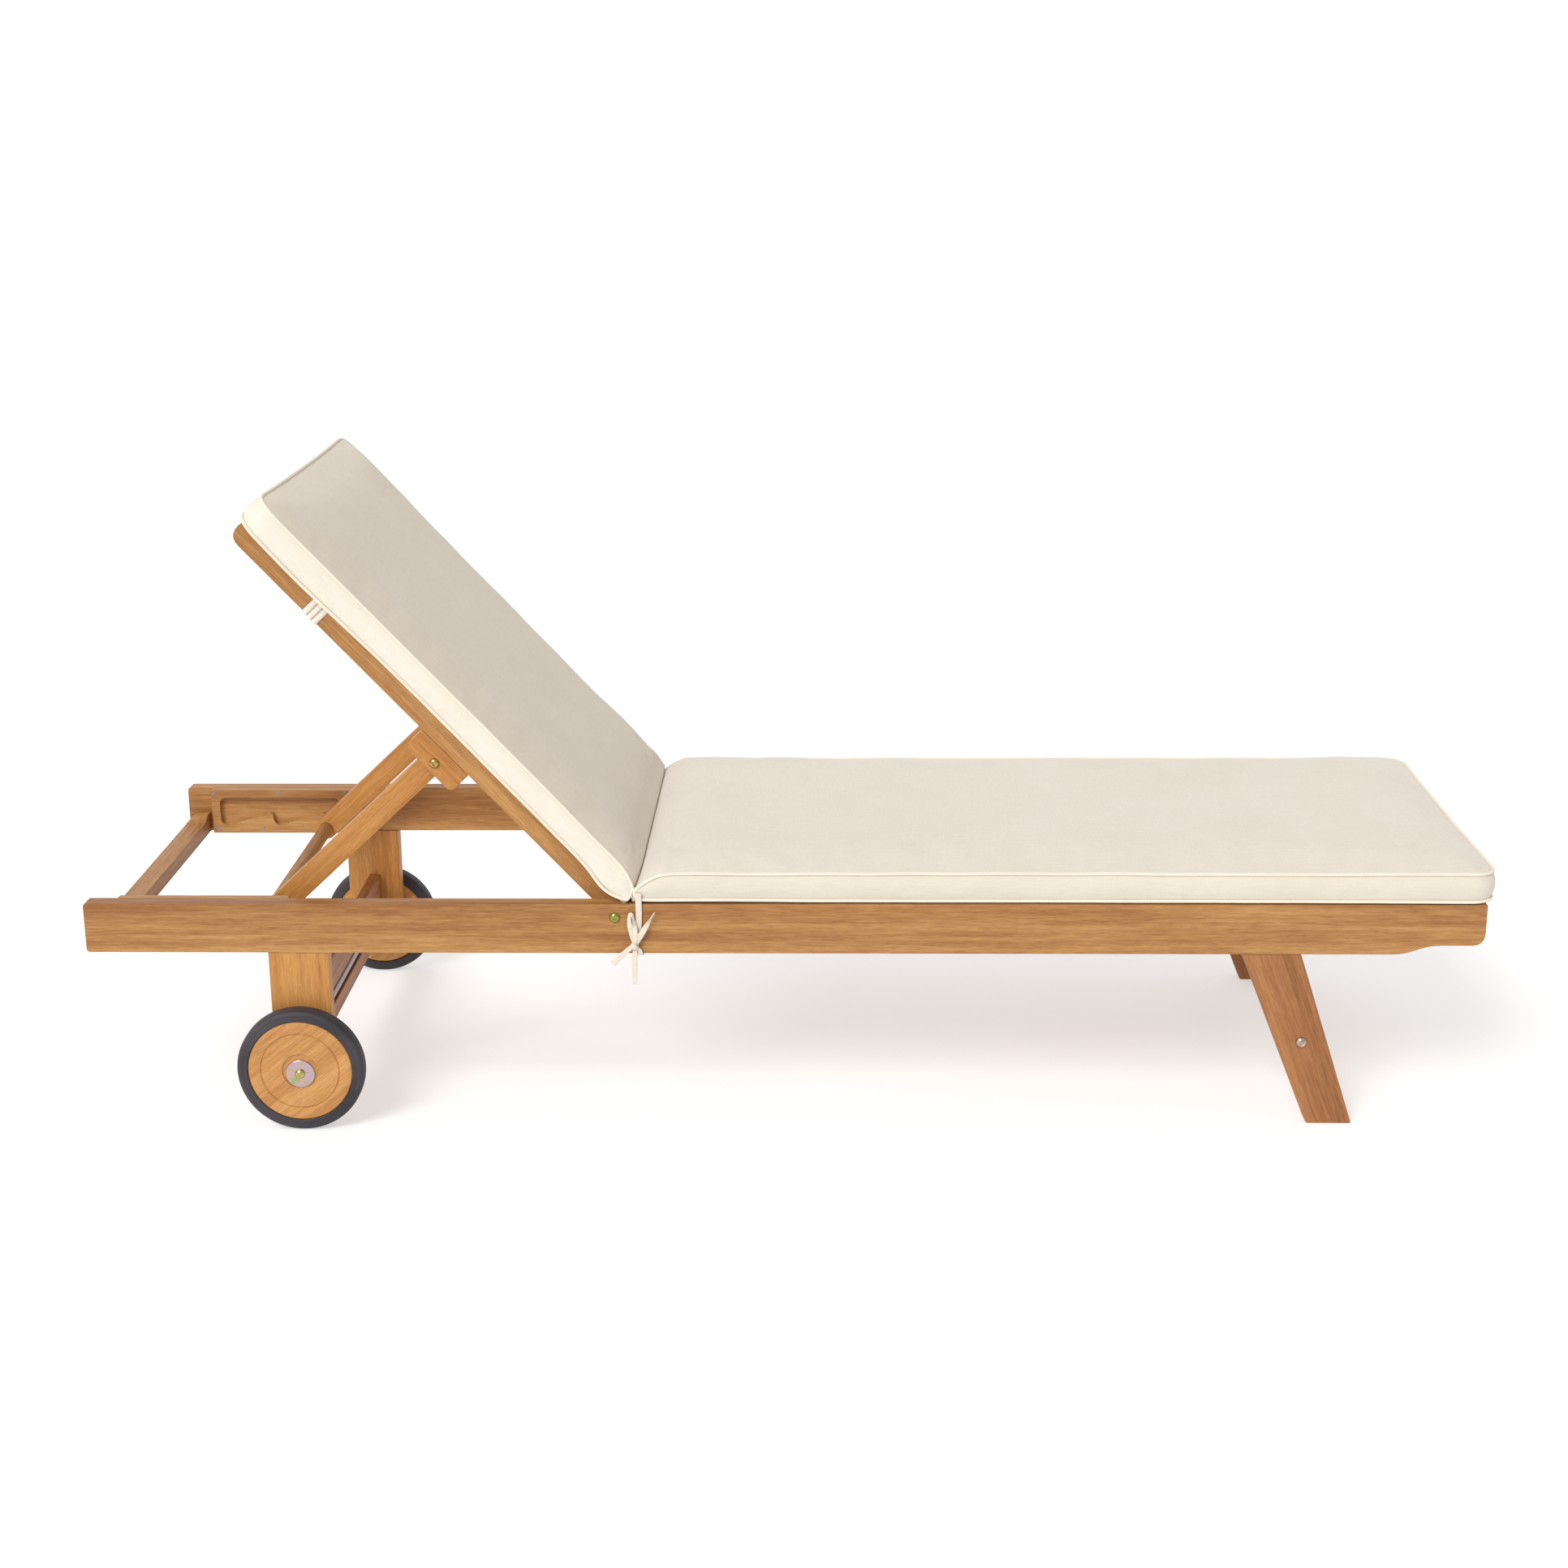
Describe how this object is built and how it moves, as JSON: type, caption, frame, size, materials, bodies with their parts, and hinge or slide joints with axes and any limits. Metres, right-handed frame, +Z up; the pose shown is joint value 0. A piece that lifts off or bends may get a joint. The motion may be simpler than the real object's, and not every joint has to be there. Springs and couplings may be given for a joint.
{
  "type": "sun lounger",
  "caption": "Wooden reclining sun lounger with wheels at the head end, a notched prop that holds the back, a slatted bed and a piped cushion.",
  "frame": {"origin": "on the floor, below the centre of the bounding box", "axes": "+X towards the foot end, +Y towards the left hand of a person lying on it, +Z up"},
  "size_m": [2.012, 0.6882, 0.9167],
  "materials": {
    "oiled_wood": "oiled hardwood, medium honey brown",
    "leg_wood": "oiled hardwood, lighter board",
    "dark_wood": "oiled hardwood, darker board",
    "disc_wood": "oiled hardwood, turned and sanded",
    "tyre": "matte black solid rubber",
    "zinc": "yellow zinc plated steel",
    "steel": "bright zinc plated steel",
    "nylon": "natural nylon",
    "canvas": "cream canvas",
    "webbing": "cream ribbon and elastic"
  },
  "bodies": {
    "frame": {"side_rail_left": "oiled_wood", "side_rail_right": "oiled_wood", "head_crossbar": "oiled_wood", "hinge_crossbar": "oiled_wood", "foot_crossbar": "oiled_wood", "seat_ledger_left": "oiled_wood", "seat_ledger_right": "oiled_wood", "seat_slat_1": "oiled_wood", "seat_slat_2": "oiled_wood", "seat_slat_3": "oiled_wood", "seat_slat_4": "oiled_wood", "seat_slat_5": "oiled_wood", "seat_slat_6": "oiled_wood", "seat_slat_7": "oiled_wood", "seat_slat_8": "oiled_wood", "notch_plate_left": "oiled_wood", "notch_plate_right": "oiled_wood", "wheel_leg_left": "leg_wood", "wheel_leg_right": "leg_wood", "wheel_leg_stretcher": "dark_wood", "foot_leg_left": "dark_wood", "foot_leg_right": "dark_wood", "foot_leg_stretcher": "dark_wood", "axle_bolt_left": "zinc", "axle_bolt_right": "zinc", "axle_washer_left": "zinc", "axle_washer_right": "zinc", "hinge_bolt_left": "zinc", "hinge_bolt_right": "zinc", "foot_leg_bolt_left": "zinc", "foot_leg_bolt_right": "zinc", "stretcher_tie_rod": "steel", "hinge_spacer_left": "nylon", "hinge_spacer_right": "nylon", "seat_cushion": "canvas", "cushion_tie_left": "webbing", "cushion_tie_right": "webbing"},
    "back": {"back_rail_left": "oiled_wood", "back_rail_right": "oiled_wood", "back_head_slat": "oiled_wood", "back_slat_1": "oiled_wood", "back_slat_2": "oiled_wood", "back_slat_3": "oiled_wood", "back_slat_4": "oiled_wood", "back_slat_5": "oiled_wood", "prop_block_left": "oiled_wood", "prop_block_right": "oiled_wood", "prop_bolt_left": "zinc", "prop_bolt_right": "zinc", "back_cushion": "canvas", "elastic_strap_left": "webbing", "elastic_strap_right": "webbing"},
    "prop": {"prop_leg_left": "oiled_wood", "prop_leg_right": "oiled_wood", "prop_dowel": "oiled_wood"},
    "wheel_left": {"tyre_left": "tyre", "wheel_disc_left": "disc_wood"},
    "wheel_right": {"tyre_right": "tyre", "wheel_disc_right": "disc_wood"}
  },
  "joints": [
    {"name": "back_hinge", "type": "hinge", "parent": "frame", "child": "back", "pos_m": [-0.244, 0, 0.3162], "axis": [0, -1, 0], "range_deg": [0, 47.2]},
    {"name": "prop_hinge", "type": "hinge", "parent": "back", "child": "prop", "pos_m": [-0.49892, 0, 0.53262], "axis": [0, 1, 0], "range_deg": [0, 91.8]},
    {"name": "wheel_left_axle", "type": "hinge", "parent": "frame", "child": "wheel_left", "pos_m": [-0.7015, 0.326, 0.092], "axis": [0, 1, 0], "continuous": true},
    {"name": "wheel_right_axle", "type": "hinge", "parent": "frame", "child": "wheel_right", "pos_m": [-0.7015, -0.326, 0.092], "axis": [0, 1, 0], "continuous": true}
  ],
  "couplings": [
    {"joint": "prop_hinge", "follows": "back_hinge", "ratio": 1.9437}
  ]
}
